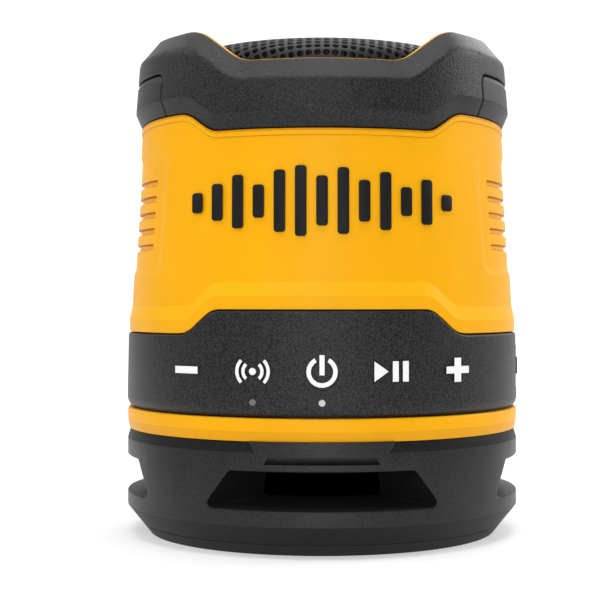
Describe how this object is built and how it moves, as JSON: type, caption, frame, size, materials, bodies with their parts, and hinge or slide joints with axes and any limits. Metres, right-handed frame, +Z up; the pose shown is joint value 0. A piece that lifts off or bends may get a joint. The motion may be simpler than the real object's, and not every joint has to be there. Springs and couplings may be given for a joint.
{
  "type": "portable wireless speaker",
  "caption": "Round jobsite loudspeaker with a domed perforated grille, rubber bumper, ribbed yellow housing, control band with press keys, charging cover and vented base.",
  "frame": {"origin": "middle of the foot ring's underside, on the floor", "axes": "+Z up along the body's axis, keys face -Y, charging cover faces +X"},
  "size_m": [0.1051, 0.1054, 0.1317],
  "materials": {
    "yellow_shell": "satin moulded",
    "bumper_rubber": "fine grained",
    "grille_steel": "matt powder coat",
    "inlay_rubber": "matt",
    "band_rubber": "fine grained",
    "key_mark": "satin",
    "light_pipe": "frosted",
    "base_plastic": "fine grained",
    "foot_rubber": "matt",
    "tub_plastic": "as moulded",
    "seal_rubber": "soft",
    "frame_steel": "black stove enamel",
    "plate_steel": "zinc plated",
    "ferrite": "sintered",
    "spider_cloth": "resin stiffened weave",
    "coil_wire": "enamelled copper",
    "cone_paper": "coated paper",
    "surround_rubber": "soft",
    "contact_brass": "tinned",
    "screw_steel": "zinc plated",
    "disc_weight": "moulded",
    "cell_wrap": "shrink wrap",
    "cradle_plastic": "as moulded",
    "board_laminate": "solder mask",
    "shield_can": "tinned",
    "chip_resin": "moulded",
    "capacitor_can": "sleeved",
    "light_chip": "diffuse",
    "wire_jacket": "soft"
  },
  "bodies": {
    "body": {"housing": "yellow_shell", "top_bumper": "bumper_rubber", "bumper_pad_left": "bumper_rubber", "bumper_pad_right": "bumper_rubber", "grille": "grille_steel", "front_inlay": "inlay_rubber", "control_band": "band_rubber", "light_pipe_pair": "light_pipe", "light_pipe_power": "light_pipe", "collar": "yellow_shell", "base": "base_plastic", "foot_ring": "foot_rubber", "inner_tub": "tub_plastic", "tub_seal": "seal_rubber", "driver_frame": "frame_steel", "driver_gasket": "seal_rubber", "driver_top_plate": "plate_steel", "driver_magnet": "ferrite", "driver_yoke": "plate_steel", "driver_spider": "spider_cloth", "driver_surround": "surround_rubber", "driver_terminals": "contact_brass", "driver_screws": "screw_steel", "radiator_frame": "tub_plastic", "radiator_surround": "surround_rubber", "radiator_screws": "screw_steel", "battery_cells": "cell_wrap", "battery_cradle": "cradle_plastic", "cradle_screws": "screw_steel", "main_board": "board_laminate", "radio_module": "shield_can", "amplifier_chip": "chip_resin", "capacitors": "capacitor_can", "board_screws": "screw_steel", "key_board": "board_laminate", "key_switches": "chip_resin", "light_chips": "light_chip", "usb_board": "board_laminate", "usb_socket": "shield_can", "usb_well": "seal_rubber", "speaker_leads": "wire_jacket", "battery_leads": "wire_jacket", "collar_screws": "screw_steel", "base_screws": "screw_steel"},
    "key_minus": {"key_minus": "key_mark"},
    "key_pair": {"key_pair": "key_mark"},
    "key_power": {"key_power": "key_mark"},
    "key_play": {"key_play": "key_mark"},
    "key_plus": {"key_plus": "key_mark"},
    "cover": {"usb_cover": "band_rubber"},
    "cone": {"driver_cone": "cone_paper", "dust_cap": "cone_paper", "voice_coil": "coil_wire"},
    "radiator": {"radiator_disc": "disc_weight"}
  },
  "joints": [
    {"name": "minus_press", "type": "slide", "parent": "body", "child": "key_minus", "axis": [0, 1, 0], "range_m": [0, 0.0008], "stiffness_N_per_m": 1500, "springref_m": -0.0006},
    {"name": "pair_press", "type": "slide", "parent": "body", "child": "key_pair", "axis": [0, 1, 0], "range_m": [0, 0.0008], "stiffness_N_per_m": 1500, "springref_m": -0.0006},
    {"name": "power_press", "type": "slide", "parent": "body", "child": "key_power", "axis": [0, 1, 0], "range_m": [0, 0.0008], "stiffness_N_per_m": 1500, "springref_m": -0.0006},
    {"name": "play_press", "type": "slide", "parent": "body", "child": "key_play", "axis": [0, 1, 0], "range_m": [0, 0.0008], "stiffness_N_per_m": 1500, "springref_m": -0.0006},
    {"name": "plus_press", "type": "slide", "parent": "body", "child": "key_plus", "axis": [0, 1, 0], "range_m": [0, 0.0008], "stiffness_N_per_m": 1500, "springref_m": -0.0006},
    {"name": "cover_swing", "type": "hinge", "parent": "body", "child": "cover", "pos_m": [0.05027, 0.01, 0.0443], "axis": [0, 0, 1], "range_deg": [0, 100], "stiffness_Nm_per_rad": 0.003},
    {"name": "cone_travel", "type": "slide", "parent": "body", "child": "cone", "axis": [0, 0, 1], "range_m": [-0.002, 0.002], "stiffness_N_per_m": 1500, "deforming": ["driver_surround", "driver_spider"]},
    {"name": "radiator_travel", "type": "slide", "parent": "body", "child": "radiator", "axis": [0, 0, 1], "range_m": [-0.0026, 0.0026], "stiffness_N_per_m": 900, "deforming": ["radiator_surround"]}
  ],
  "couplings": [
    {"joint": "radiator_travel", "follows": "cone_travel", "ratio": 1.25}
  ]
}
